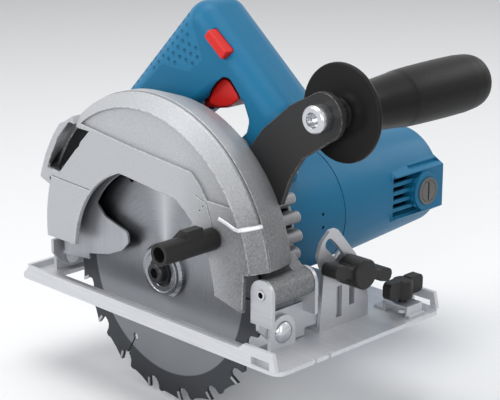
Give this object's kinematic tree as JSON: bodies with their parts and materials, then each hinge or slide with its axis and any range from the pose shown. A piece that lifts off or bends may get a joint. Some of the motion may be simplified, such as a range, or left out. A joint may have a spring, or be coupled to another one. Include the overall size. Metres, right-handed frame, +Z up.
{
  "type": "circular saw",
  "caption": "Hand-held corded circular saw with swinging lower guard, tilting sole plate, depth pivot, transverse motor, trigger handle and side auxiliary grip.",
  "frame": {"origin": "underside of the sole plate, below the arbor, in the middle plane of the blade", "axes": "+X is the cutting direction, +Y runs from the blade towards the motor, +Z is up"},
  "size_m": [0.25, 0.2645, 0.2416],
  "materials": {
    "zinc_steel": "zinc plated sheet, satin",
    "black_plastic": "moulded black plastic, satin",
    "cast_aluminium": "matt cast",
    "guard_steel": "plain sheet",
    "blue_plastic": "moulded blue plastic, soft gloss",
    "soft_rubber": "dimpled soft grip",
    "red_plastic": "moulded red plastic",
    "black_steel": "blackened",
    "screw_steel": "zinc plated",
    "blade_steel": "ground",
    "carbide": "ground carbide",
    "gear_steel": "machined",
    "core_steel": "laminated",
    "copper": "enamelled copper",
    "carbon": "pressed carbon"
  },
  "bodies": {
    "sole": {"base_plate": "zinc_steel", "bevel_rivets": "zinc_steel", "bevel_quadrant": "zinc_steel", "quadrant_rivets": "zinc_steel", "fence_bridge": "zinc_steel"},
    "fence_screw": {"fence_wing_screw": "black_plastic"},
    "bevel_clamp": {"bevel_clamp_bolt": "zinc_steel", "bevel_clamp_washer": "zinc_steel"},
    "bevel_knob": {"bevel_wing_knob": "black_plastic"},
    "bevel_frame": {"front_bracket": "zinc_steel", "depth_pivot_pin": "zinc_steel", "rear_bracket": "zinc_steel", "depth_guide": "zinc_steel", "guide_rivets": "zinc_steel"},
    "saw_body": {"upper_guard": "cast_aluminium", "gear_housing": "cast_aluminium", "housing_screws": "screw_steel", "bearing_plate": "cast_aluminium", "spindle_bearings": "gear_steel", "armature_bearings": "gear_steel", "motor_housing": "blue_plastic", "motor_screws": "screw_steel", "stator_core": "core_steel", "field_coils": "copper", "brush_holders": "black_plastic", "carbon_brushes": "carbon", "brush_caps": "black_plastic", "handle_right": "blue_plastic", "handle_left": "blue_plastic", "grip_pad": "soft_rubber", "handle_screws": "screw_steel", "cord_bush": "black_plastic", "switch_body": "black_plastic", "trigger_pin": "screw_steel", "aux_arm": "black_steel", "aux_bolt": "zinc_steel", "aux_spacer": "zinc_steel", "aux_grip": "black_plastic", "guard_retainer": "zinc_steel", "guard_spring": "screw_steel", "depth_clamp_stud": "zinc_steel"},
    "spindle_group": {"spindle": "gear_steel", "spindle_gear": "gear_steel", "inner_flange": "black_steel", "saw_blade": "blade_steel", "carbide_tips": "carbide", "outer_flange": "black_steel", "blade_bolt": "black_steel"},
    "armature_group": {"armature_shaft": "gear_steel", "armature_core": "core_steel", "armature_windings": "copper", "commutator": "copper", "fan": "black_plastic"},
    "swing_guard": {"lower_guard": "guard_steel", "guard_lever": "black_plastic", "lever_screw": "screw_steel"},
    "depth_lever": {"depth_clamp_lever": "black_plastic"},
    "trigger_body": {"trigger": "red_plastic"},
    "lock_off": {"lock_off_button": "red_plastic"},
    "spindle_lock": {"spindle_lock_button": "black_plastic"}
  },
  "joints": [
    {"name": "bevel_tilt", "type": "hinge", "parent": "sole", "child": "bevel_frame", "pos_m": [0, 0, 0.0115], "axis": [1, 0, 0], "range_deg": [0, 45]},
    {"name": "depth_pivot", "type": "hinge", "parent": "bevel_frame", "child": "saw_body", "pos_m": [0.0965, 0, 0.0375], "axis": [0, 1, 0], "range_deg": [0, 30]},
    {"name": "blade_spin", "type": "hinge", "parent": "saw_body", "child": "spindle_group", "pos_m": [0, 0, 0.024], "axis": [0, 1, 0], "continuous": true},
    {"name": "armature_spin", "type": "hinge", "parent": "saw_body", "child": "armature_group", "pos_m": [0.012, 0, 0.04593], "axis": [0, 1, 0], "continuous": true},
    {"name": "guard_swing", "type": "hinge", "parent": "saw_body", "child": "swing_guard", "pos_m": [0, 0, 0.024], "axis": [0, 1, 0], "range_deg": [-135, 0], "stiffness_Nm_per_rad": 0.05, "springref_deg": -160.43},
    {"name": "depth_lever_turn", "type": "hinge", "parent": "saw_body", "child": "depth_lever", "pos_m": [-0.04715, 0.0155, 0.04754], "axis": [0, 1, 0], "range_deg": [0, 40]},
    {"name": "trigger_squeeze", "type": "hinge", "parent": "saw_body", "child": "trigger_body", "pos_m": [0.014, 0.038, 0.15], "axis": [0, 1, 0], "range_deg": [0, 8], "stiffness_Nm_per_rad": 0.6, "springref_deg": -14.32},
    {"name": "lock_off_press", "type": "slide", "parent": "saw_body", "child": "lock_off", "axis": [0, 1, 0], "range_m": [0, 0.0022], "stiffness_N_per_m": 700, "springref_m": -0.002},
    {"name": "spindle_lock_press", "type": "slide", "parent": "saw_body", "child": "spindle_lock", "axis": [1, 0, 0], "range_m": [0, 0.0036], "stiffness_N_per_m": 600, "springref_m": -0.002},
    {"name": "bevel_clamp_travel", "type": "hinge", "parent": "sole", "child": "bevel_clamp", "pos_m": [0.095, 0, 0.0115], "axis": [1, 0, 0], "range_deg": [0, 22.5]},
    {"name": "bevel_knob_turn", "type": "hinge", "parent": "bevel_clamp", "child": "bevel_knob", "pos_m": [0.1, 0.05101, 0.03693], "axis": [1, 0, 0], "continuous": true},
    {"name": "fence_screw_turn", "type": "hinge", "parent": "sole", "child": "fence_screw", "pos_m": [0.109, 0.09, 0.012], "axis": [0, 0, 1], "continuous": true}
  ],
  "couplings": [
    {"joint": "armature_spin", "follows": "blade_spin", "ratio": -4},
    {"joint": "bevel_clamp_travel", "follows": "bevel_tilt", "ratio": 0.5}
  ]
}
